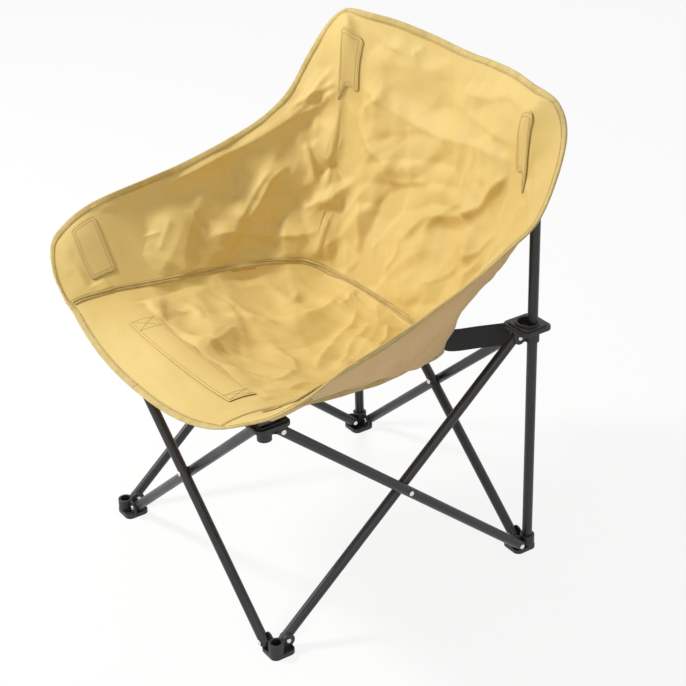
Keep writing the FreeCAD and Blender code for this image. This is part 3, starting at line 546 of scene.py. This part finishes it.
seat_places = np.linspace(0.0, 16.9, 250)
half_seat = 86
seat_shares = np.concatenate([np.linspace(-1, 0, half_seat), np.linspace(0, 1, half_seat)[1:]])
smooth_seat = seat_points(seat_places, seat_shares)
seat_normals = grid_normals(smooth_seat)
seat_folds = [
    ([(3.55, -0.68), (3.75, -0.40), (3.8, -0.05), (3.7, 0.40), (3.6, 0.72)], -7, 14, 6),
    ([(3.4, -0.82), (4.2, -0.73), (4.8, -0.66), (5.3, -0.68)], 4, 6, 11),
    ([(4.7, -0.88), (5.2, -0.77), (5.3, -0.63), (5.2, -0.52)], 5, 6, 11),
    ([(5.8, -0.92), (6.1, -0.75), (6.3, -0.62)], 4, 6, 12),
    ([(6.4, -0.86), (6.5, -0.60), (6.8, -0.44), (7.0, -0.30)], 5, 7, 12),
    ([(6.3, -0.56), (6.8, -0.35), (7.4, -0.18)], 5, 6, 11),
    ([(7.0, -0.86), (7.7, -0.82), (8.0, -0.62), (8.7, -0.74)], 4, 8, 12),
    ([(4.0, -0.10), (5.0, -0.24), (6.0, -0.43)], 4, 12, 7),
    ([(12.0, -0.34), (8.6, -0.07), (7.6, 0.08), (6.4, 0.36)], 7, 8, 16),
    ([(11.5, -0.10), (8.5, 0.12), (7.6, 0.28), (6.9, 0.46)], 6, 8, 14),
    ([(13.0, 0.10), (9.0, 0.34), (8.0, 0.50)], 6, 8, 14),
    ([(10.8, -0.50), (8.6, -0.42), (7.6, -0.34)], 5, 7, 12),
    ([(15.0, -0.70), (12.5, -0.48), (9.7, -0.40)], 4, 6, 11),
    ([(4.4, 0.28), (4.9, 0.48), (5.5, 0.42), (6.1, 0.28)], 5, 7, 12),
    ([(4.2, 0.55), (4.9, 0.66), (5.6, 0.62), (6.2, 0.70)], 5, 7, 12),
    ([(3.9, -0.38), (4.3, -0.22), (4.8, -0.12)], 3.5, 6, 9),
    ([(6.2, -0.16), (6.3, 0.12), (5.9, 0.36)], 5, 14, 8),
    ([(7.2, 0.62), (6.6, 0.74), (6.3, 0.88)], 4, 6, 11),
]
back_along, aside = np.meshgrid(seat_places, np.abs(seat_shares), indexing="ij")
under_strip = step(back_along, 1.5, 1.9) * step(-back_along, -3.75, -3.4) * step(-aside, -0.84, -0.74)
in_front = step(-back_along, -3.4, -2.6)
seat_freedom = (np.clip((1 - aside) / 0.07, 0, 1) * step(back_along, 0.2, 1.0)
                * step(-back_along, -16.6, -15.4) * (1 - under_strip) * (1 - 0.75 * in_front))
near_hub = step(aside, 0.72, 0.86) * step(-back_along, -5.5, -4.5)
placed = placed_folds(seat_folds, seat_points)
seat_heights = fold_heights(smooth_seat, seat_normals, placed) + 0.7 * crumple(smooth_seat, seat_freedom, 8)
seat_heights = np.minimum(np.maximum(seat_heights, -0.010 * (1 - near_hub) - 0.0003), 0.012) * np.clip(
    seat_freedom * 3, 0, 1)
seat_cloth = smooth_seat + seat_normals * seat_heights[..., None]
seat_shading = grid_normals(seat_cloth)
for side, span in [("left", slice(0, half_seat)), ("right", slice(half_seat - 1, None))]:
    piece = cloth_piece(side + "_seat", seat_cloth[:, span], seat_shading[:, span], cloth_thickness,
                        [inside_cloth, outside_cloth])
    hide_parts("seat_panel")
    move[side](piece)


# Rim binding: a tape of the same yellow, folded over the raw edge all the way round the bucket
# and the seat's front edge, and sewn through.
def face_outwards(piece):
    """Turns the faces of a closed piece outwards."""
    shape = bmesh.new()
    shape.from_mesh(piece.data)
    bmesh.ops.recalc_face_normals(shape, faces=shape.faces)
    shape.to_mesh(piece.data)
    shape.free()


def tape_piece(name, path, inwards, normals, profile, finish):
    """A closed band swept along a path. The profile's points are metres inwards and along the normal."""
    count = len(profile)
    rings = np.stack([path + inwards * inward + normals * up for inward, up in profile], 1)
    index = np.arange(len(path) * count).reshape(-1, count)
    beside = np.roll(index, -1, axis=1)
    faces = np.stack([index[:-1], index[1:], beside[1:], beside[:-1]], 2).reshape(-1, 4).tolist()
    faces += [index[0].tolist(), index[-1][::-1].tolist()]
    piece = smooth_piece(name, rings.reshape(-1, 3), faces, [finish])
    face_outwards(piece)
    return piece


def evened(values, width, closed=False):
    """Smooths values along their first axis."""
    kernel = np.hanning(2 * width + 3)[1:-1]
    kernel /= kernel.sum()
    if closed:
        padded = np.concatenate([values[-width:], values, values[:width]])
    else:
        padded = np.concatenate([values[:1].repeat(width, 0), values, values[-1:].repeat(width, 0)])
    return np.stack([np.convolve(padded[:, axis], kernel, mode="valid") for axis in range(3)], 1)


def tape_finish(name, dark, light, ribs):
    """Woven tape: close ribs across it, a little darker than the cloth."""
    finish, shader, place, add = new_finish(name, 0.62)
    worn = add("ShaderNodeTexNoise", {"Vector": place, "Scale": 60.0, "Detail": 4.0}).outputs["Fac"]
    tint(finish, add, worn, 0.3, 0.7, dark, light)
    shader.inputs["Sheen Weight"].default_value = 0.1
    threads = [add("ShaderNodeTexWave", {"Vector": place, "Scale": ribs, "Distortion": 0.8},
                   bands_direction=axis).outputs["Fac"] for axis in ("DIAGONAL", "Y")]
    both = add("ShaderNodeMath", {0: threads[0], 1: threads[1]}, operation="ADD").outputs["Value"]
    emboss(finish, add, [(both, 0.55, 0.0006)])
    return finish


rim_tape = tape_finish("rim_tape", (0.52, 0.385, 0.125), (0.66, 0.495, 0.175), 170.0)
front_shares = np.linspace(-1, 1, 141)
front_rows = seat_points([0.0, 0.15, 0.3], front_shares)
front_normal = grid_normals(front_rows)[0]
rim_path = np.concatenate([wall_cloth[:, -1], front_rows[0][2:-2]])
rim_inwards = np.concatenate([unit(wall_cloth[:, -9] - wall_cloth[:, -1]),
                              unit(front_rows[2] - front_rows[0])[2:-2]])
rim_up = np.concatenate([wall_normals[:, -1], front_normal[2:-2]])
rim_inwards = unit(evened(rim_inwards, 7, True))
rim_up = evened(rim_up, 7, True)
rim_up = unit(rim_up - rim_inwards * (rim_up * rim_inwards).sum(1, keepdims=True))
rim_path = evened(rim_path, 3, True)
round_count = len(rim_path)
front_middle = len(places) + (len(front_shares) - 4) // 2
order = np.concatenate([np.arange(front_middle, round_count), np.arange(0, front_middle + 1)])
before_walls = round_count - front_middle
rim_profile = [(0.0108, 0.0006), (0.0098, 0.0013), (0.0082, 0.0016), (0.0045, 0.0016), (0.0010, 0.0020),
               (-0.0007, 0.0014), (-0.0012, 0), (-0.0007, -0.0014), (0.0010, -0.0020), (0.0045, -0.0016),
               (0.0082, -0.0016), (0.0098, -0.0013), (0.0108, -0.0006)]
rim_spans = {"right": (0, before_walls + first_post),
             "back": (before_walls + first_post, before_walls + second_post),
             "left": (before_walls + second_post, len(order) - 1)}
for side, (start, end) in rim_spans.items():
    chosen = order[start:end + 1]
    piece = tape_piece(side + "_rim", rim_path[chosen], rim_inwards[chosen], rim_up[chosen], rim_profile,
                       rim_tape)
    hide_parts("rim_binding")
    move[side](piece)

# Seam between the seat and the walls: both edges bound in one tape that stands as a double
# ribbed roll on the sitter's side, with the trimmed edges tucked underneath. Its colour is darker
# than the rim tape's: painted shade for the crease between the seat and the walls.
shaded_seam_tape = tape_finish("shaded_seam_tape", (0.46, 0.325, 0.10), (0.60, 0.44, 0.15), 210.0)
seam_start = 6
seam_cells = slice(seam_start, len(places) - seam_start)
seam_path = evened(wall_cloth[seam_cells, 0], 2)
seam_inwards = unit(evened(unit(wall_cloth[seam_cells, 3] - wall_cloth[seam_cells, 0]), 5))
seam_up = evened(wall_normals[seam_cells, 1], 5)
seam_up = unit(seam_up - seam_inwards * (seam_up * seam_inwards).sum(1, keepdims=True))
seam_profile = [(-0.0030, -0.0004), (-0.0026, 0.0020), (-0.0010, 0.0034), (0.0008, 0.0032), (0.0020, 0.0020),
                (0.0026, 0.0018), (0.0034, 0.0030), (0.0050, 0.0032), (0.0064, 0.0022), (0.0072, 0.0009),
                (0.0072, -0.0012), (0.0010, -0.0022), (-0.0040, -0.0040), (-0.0052, -0.0030)]
seam_spans = {"right": (0, first_post - seam_start),
              "back": (first_post - seam_start, second_post - seam_start),
              "left": (second_post - seam_start, len(seam_path) - 1)}
for side, (start, end) in seam_spans.items():
    span = slice(start, end + 1)
    piece = tape_piece(side + "_seam", seam_path[span], seam_inwards[span], seam_up[span], seam_profile,
                       shaded_seam_tape)
    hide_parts("seam_binding")
    move[side](piece)

# Front strip: a second layer of the cloth sewn flat across the seat behind its front edge, over
# the arms' line. It stiffens the edge that the knees press on.
left_half, right_half = 66, 76
strip_across = np.concatenate([np.linspace(-0.141, 0, left_half), np.linspace(0, 0.165, right_half)[1:]])
strip_lines = []
for y in np.linspace(-0.251, -0.206, 20) + to_middle:
    place = float(np.interp(y, seat_middle[:, 1], np.arange(len(seat_middle))))
    half_width = along(wall[:, 0], [place])[0, 0]
    strip_lines.append(seat_points([place], strip_across / half_width)[0])
strip_base = np.array(strip_lines)
strip_up = grid_normals(strip_base)
pucker = np.array([[noise.noise(Vector(spot) * 22.0) * 0.0004 for spot in line] for line in strip_base])
strip_lift = 0.0022
strip_thickness = 0.0010
strip_points = strip_base + strip_up * (strip_lift + pucker)[..., None]
strip_shading = grid_normals(strip_points)
for side, span in [("left", slice(0, left_half)), ("right", slice(left_half - 1, None))]:
    piece = cloth_piece(side + "_strip", strip_points[:, span], strip_shading[:, span], strip_thickness,
                        [inside_cloth])
    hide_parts("front_strip")
    move[side](piece)

# Ear patches: a stiffer greyer layer sewn over each arm's pocket and each post's pocket, with
# rounded corners.
patch_cloth = cloth_finish("patch_cloth", (0.60, 0.44, 0.155), (0.67, 0.495, 0.18), 0.55, 0.08)
patch_lift = 0.0021
patch_thickness = 0.0012


def patch_piece(name, low_edge, high_edge, round_corner):
    """A patch over the wall, drawn in at its corners. Each edge is its first and last place and
    its share."""
    rows, columns = 26, 44
    u, v = np.meshgrid(np.linspace(-1, 1, rows), np.linspace(-1, 1, columns), indexing="ij")
    squeeze_u = 1 - round_corner * np.clip((np.abs(v) - 0.86) / 0.14, 0, 1) ** 2
    squeeze_v = 1 - round_corner * 0.35 * np.clip((np.abs(u) - 0.7) / 0.3, 0, 1) ** 2
    up_it = (1 + v * squeeze_v) / 2
    first = low_edge[0] + (high_edge[0] - low_edge[0]) * up_it
    last = low_edge[1] + (high_edge[1] - low_edge[1]) * up_it
    at_places = (first + last) / 2 + u * squeeze_u * (last - first) / 2
    at_shares = low_edge[2] + (high_edge[2] - low_edge[2]) * up_it
    points = np.array([[wall_points([place], [share])[0, 0] for place, share in zip(*row)]
                       for row in zip(at_places, at_shares)])
    normals = grid_normals(points)
    points = points + normals * patch_lift
    return cloth_piece(name, points, normals, patch_thickness, [patch_cloth]), points, normals


patch_grids = {}
for side, end, limits, corner in [
        ("right", "front", [(2.15, 3.5, 0.24), (2.9, 4.15, 0.88)], 0.08),
        ("left", "front", [(30.5, 31.85, 0.24), (29.85, 31.1, 0.88)], 0.08),
        ("right", "back", [(11.35, 13.65, 0.68), (12.6, 13.95, 0.90)], 0.14),
        ("left", "back", [(20.35, 22.65, 0.68), (20.05, 21.4, 0.90)], 0.14)]:
    name = side + "_" + end + "_patch"
    piece, points, normals = patch_piece(name, *limits, corner)
    patch_grids[name] = (points, normals)
    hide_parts(end + "_patches")
    if end == "front":
        move[side](piece)
    else:
        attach(piece, "back_" + side + "_base")

# Pockets behind the patches: sleeves of the cloth's outside, sewn shut at the far end, that slip
# over the two front arms and over the rear post tops.
round_angles = np.linspace(0, 2 * math.pi, 48, endpoint=False)
outer_ease, inner_ease = 0.0014, 0.0005
arm_reach = np.array([0.092, 0.012, 0.074])
arm_way = unit(arm_reach)
arm_across = unit(np.array([-0.012, 0.092, 0.0]))
arm_up = np.cross(arm_way, arm_across)
arm_start = np.array([0.240, -0.240 + to_middle, 0.392 + 0.0142])
arm_length = float(np.linalg.norm(arm_reach))
arm_mouth = 0.050
arm_half_width, arm_half_height = 0.018, 0.0025
tip_half_flat, tip_radius = 0.004, 0.014
post_at = 0.240
post_mouth, post_top = 0.620, 0.7330
post_radius, top_radius = 0.008, 0.003


def squarer(wave):
    return np.sign(wave) * np.abs(wave) ** 0.55


def arm_rings(sign, ease):
    """Flat rings round an arm's tongue, clear of it by the ease and drawn in round its tip."""
    tip_start = arm_length - tip_radius
    rings = []
    for travel in np.concatenate([np.linspace(arm_mouth, tip_start, 22),
                                  tip_start + (tip_radius + ease) * np.sin(np.linspace(0.15, 1.45, 9))]):
        tip = max(0.0, (travel - tip_start) / (tip_radius + ease))
        half_width = arm_half_width + ease
        if tip > 0:
            half_width = tip_half_flat + (tip_radius + ease) * math.sqrt(max(1 - tip * tip, 0.0))
        half_height = arm_half_height + ease + 0.0004 * math.sin(travel * 210)
        across = squarer(np.cos(round_angles)) * half_width
        up = squarer(np.sin(round_angles)) * half_height
        rings.append(arm_start + arm_way * travel + arm_across * across[:, None] + arm_up * up[:, None])
    return np.array(rings) * np.array([sign, 1, 1])


def post_rings(sign, ease):
    """Round rings round a post's top, clear of it by the ease. The outer ones ripple."""
    top = post_top + ease
    profile = [(height, post_radius + ease) for height in np.linspace(post_mouth, top, 40)]
    profile += [(top + top_radius * math.sin(angle),
                 post_radius - top_radius + ease + top_radius * math.cos(angle))
                for angle in np.linspace(0.3, 1.5, 5)]
    rings = []
    for height, radius in profile:
        ripple = 0.0002 * np.sin(round_angles * 5 + height * 90) if ease == outer_ease else 0.0
        rings.append(np.stack([sign * post_at + (radius + ripple) * np.cos(round_angles),
                               post_at + to_middle + (radius + ripple) * np.sin(round_angles),
                               np.full(len(round_angles), height)], 1))
    return np.array(rings)


def sleeve(name, rings, inner_rings, finish):
    """A thin sleeve, open at its first ring and closed at its last."""
    count = rings.shape[1]
    points = np.concatenate([rings, inner_rings[::-1]]).reshape(-1, 3)
    index = np.arange(len(points)).reshape(-1, count)
    beside = np.roll(index, -1, axis=1)
    outside, inside = len(rings), len(inner_rings)
    faces = []
    for row in list(range(outside - 1)) + list(range(outside, outside + inside - 1)):
        faces += np.stack([index[row], index[row + 1], beside[row + 1], beside[row]], 1).tolist()
    faces += np.stack([index[-1], index[0], beside[0], beside[-1]], 1).tolist()
    faces += [index[outside - 1].tolist(), index[outside][::-1].tolist()]
    piece = smooth_piece(name, points, faces, [finish])
    face_outwards(piece)
    return piece


for side, sign in (("right", 1), ("left", -1)):
    for name, node, body, rings in [
            (side + "_front_pocket", "front_pockets", "front_" + side + "_hub", arm_rings),
            (side + "_back_pocket", "back_pockets", "back_" + side + "_base", post_rings)]:
        piece = sleeve(name, rings(sign, outer_ease), rings(sign, inner_ease), outside_cloth)
        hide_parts(node)
        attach(piece, body)

# Support strap: black polyester webbing, 38 mm wide, standing on edge from slider to slider
# round the lower back of the bucket.
black_webbing, shader, place, add = new_finish("black_webbing", 0.7)
ribs = add("ShaderNodeTexWave", {"Vector": place, "Scale": 210.0, "Distortion": 0.4},
           bands_direction="Z").outputs["Fac"]
picks = add("ShaderNodeTexWave", {"Vector": place, "Scale": 320.0, "Distortion": 0.4},
            bands_direction="X").outputs["Fac"]
both = add("ShaderNodeMath", {0: ribs, 1: picks}, operation="ADD").outputs["Value"]
tint(black_webbing, add, both, 0.3, 1.6, (0.008, 0.008, 0.009), (0.026, 0.026, 0.028))
emboss(black_webbing, add, [(both, 0.6, 0.0005)])
strap_line = np.array([(207, 235.7, 382), (174, 193, 374), (141, 155, 366), (100, 162, 362), (50, 170, 358),
                       (0, 173, 357), (-50, 170, 358), (-100, 162, 362), (-141, 155, 366),
                       (-188, 181, 374), (-235.7, 207, 382)]) / 1000 + np.array([0, to_middle, 0])
strap_path = along(strap_line, np.linspace(0, 10, 161))
strap_width = 0.038
strap_thickness = 0.0020
strap_levels = np.linspace(-strap_width / 2, strap_width / 2, 20)
strap_points = strap_path[:, None, :] + np.array([0, 0, 1.0]) * strap_levels[None, :, None]
strap = cloth_piece("back_strap_webbing", strap_points, grid_normals(strap_points), strap_thickness,
                    [black_webbing])
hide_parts("back_strap")
gather_back(strap)

# Stitching: yellow-brown polyester thread, lockstitched about three to the centimetre along the
# rim, both sides of the seam, the strip with its crossed ends, and round every patch.
thread, shader, place, add = new_finish("thread", 0.55)
twist = add("ShaderNodeTexWave", {"Vector": place, "Scale": 700.0, "Distortion": 2.0}).outputs["Fac"]
tint(thread, add, twist, 0.1, 0.9, (0.36, 0.245, 0.075), (0.50, 0.36, 0.125))
emboss(thread, add, [(twist, 0.4, 0.0003)])

stitch_tree = bpy.data.node_groups.new("stitch_line", "GeometryNodeTree")
stitch_tree.interface.new_socket("Geometry", in_out="OUTPUT", socket_type="NodeSocketGeometry")
sockets = {}
for label, kind in [("Geometry", "NodeSocketGeometry"), ("Stitch pitch", "NodeSocketFloat"),
                    ("Stitch length", "NodeSocketFloat"), ("Thread radius", "NodeSocketFloat"),
                    ("Thread", "NodeSocketMaterial")]:
    sockets[label] = stitch_tree.interface.new_socket(label, in_out="INPUT", socket_type=kind).identifier
add_node = stitch_tree.nodes.new
given = add_node("NodeGroupInput")
result = add_node("NodeGroupOutput")
seam_curve = add_node("GeometryNodeMeshToCurve")
spaced = add_node("GeometryNodeResampleCurve")
spaced.mode = "LENGTH"
tangent = add_node("GeometryNodeInputTangent")
facing = add_node("FunctionNodeAlignRotationToVector")
facing.axis = "Z"
stitch = add_node("GeometryNodeMeshCylinder")
stitch.inputs["Vertices"].default_value = 6
lay = add_node("GeometryNodeInstanceOnPoints")
real = add_node("GeometryNodeRealizeInstances")
paint = add_node("GeometryNodeSetMaterial")
for source, output, target, socket in [
        (given, "Geometry", seam_curve, "Mesh"), (seam_curve, "Curve", spaced, "Curve"),
        (given, "Stitch pitch", spaced, "Length"), (tangent, "Tangent", facing, "Vector"),
        (given, "Stitch length", stitch, "Depth"), (given, "Thread radius", stitch, "Radius"),
        (spaced, "Curve", lay, "Points"), (stitch, "Mesh", lay, "Instance"),
        (facing, "Rotation", lay, "Rotation"), (lay, "Instances", real, "Geometry"),
        (real, "Geometry", paint, "Geometry"), (given, "Thread", paint, "Material"),
        (paint, "Geometry", result, "Geometry")]:
    stitch_tree.links.new(source.outputs[output], target.inputs[socket])


def stitches(name, lines, pitch=0.0036, length=0.0025, radius=0.00035):
    """Lays stitches along lines and returns them as one plain mesh piece."""
    points = np.concatenate(lines)
    edges = []
    start = 0
    for line in lines:
        edges += [(number, number + 1) for number in range(start, start + len(line) - 1)]
        start += len(line)
    guide_mesh = bpy.data.meshes.new(name + "_guide")
    guide_mesh.from_pydata([tuple(point) for point in points], edges, [])
    guide = bpy.data.objects.new(name + "_guide", guide_mesh)
    bpy.context.scene.collection.objects.link(guide)
    sewing = guide.modifiers.new("stitches", "NODES")
    sewing.node_group = stitch_tree
    sewing[sockets["Stitch pitch"]] = pitch
    sewing[sockets["Stitch length"]] = length
    sewing[sockets["Thread radius"]] = radius
    sewing[sockets["Thread"]] = thread
    graph = bpy.context.evaluated_depsgraph_get()
    mesh = bpy.data.meshes.new_from_object(guide.evaluated_get(graph))
    bpy.data.objects.remove(guide)
    mesh.name = name
    piece = bpy.data.objects.new(name, mesh)
    bpy.context.scene.collection.objects.link(piece)
    return piece


def on_rim(start, end, inward, up):
    chosen = order[start:end + 1]
    return rim_path[chosen] + rim_inwards[chosen] * inward + rim_up[chosen] * up


def on_seam(start, end, inward, up):
    span = slice(start, end + 1)
    return seam_path[span] + seam_inwards[span] * inward + seam_up[span] * up


thread_lift = 0.0007


def on_strip(across, away):
    """A line on the strip through places given from -1 to 1 across it and along it."""
    rows = (np.asarray(away, float) + 1) / 2 * (strip_points.shape[0] - 1)
    columns = (np.asarray(across, float) + 1) / 2 * (strip_points.shape[1] - 1)
    low_row = np.clip(rows.astype(int), 0, strip_points.shape[0] - 2)
    low_column = np.clip(columns.astype(int), 0, strip_points.shape[1] - 2)
    part_row = (rows - low_row)[:, None]
    part_column = (columns - low_column)[:, None]
    lifted = strip_points + strip_shading * thread_lift
    return ((lifted[low_row, low_column] * (1 - part_column) + lifted[low_row, low_column + 1] * part_column)
            * (1 - part_row)
            + (lifted[low_row + 1, low_column] * (1 - part_column)
               + lifted[low_row + 1, low_column + 1] * part_column) * part_row)


def round_patch(name, inset):
    """A closed row round a patch, some cells in from its edge."""
    points, normals = patch_grids[name]
    lifted = points + normals * 0.0008
    rows, columns = points.shape[:2]
    near, far = inset, -1 - inset
    loop = np.concatenate([lifted[near:rows + far + 1, near], lifted[rows + far, near:columns + far + 1],
                           lifted[near:rows + far + 1, columns + far][::-1],
                           lifted[near, near:columns + far + 1][::-1]])
    return loop


def edge_rows(side):
    """The rows on both faces of one side's rim tape and along both edges of its seam."""
    rim, seam = rim_spans[side], seam_spans[side]
    rim_inset, rim_face = 0.0078, 0.0020
    return [on_rim(*rim, rim_inset, rim_face), on_rim(*rim, rim_inset, -rim_face),
            on_seam(*seam, 0.0030, 0.0026), on_seam(*seam, 0.0085, 0.0011)]


line_share = np.linspace(0, 1, 60)
strip_edge = 0.82
over_strip = -strip_edge + 2 * strip_edge * line_share
sewn = {side: edge_rows(side) for side in ("right", "left", "back")}
for side, inner, outer in (("left", -0.78, -0.965), ("right", 0.86, 0.975)):
    sewn[side] += [round_patch(side + "_front_patch", inset) for inset in (1, 3)]
    for edge in (-strip_edge, strip_edge):
        sewn[side].append(on_strip(outer * line_share, np.full(60, edge)))
    sewn[side] += [on_strip(np.full(60, end), over_strip) for end in (inner, outer)]
    outwards = inner + (outer - inner) * line_share
    sewn[side] += [on_strip(outwards, over_strip), on_strip(outwards, -over_strip)]
for side, lines in sewn.items():
    move[side](stitches(side + "_stitches", lines))
for side in ("right", "left"):
    name = side + "_back_patch"
    piece = stitches(name + "_stitches", [round_patch(name, 1), round_patch(name, 3)])
    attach(piece, "back_" + side + "_base")
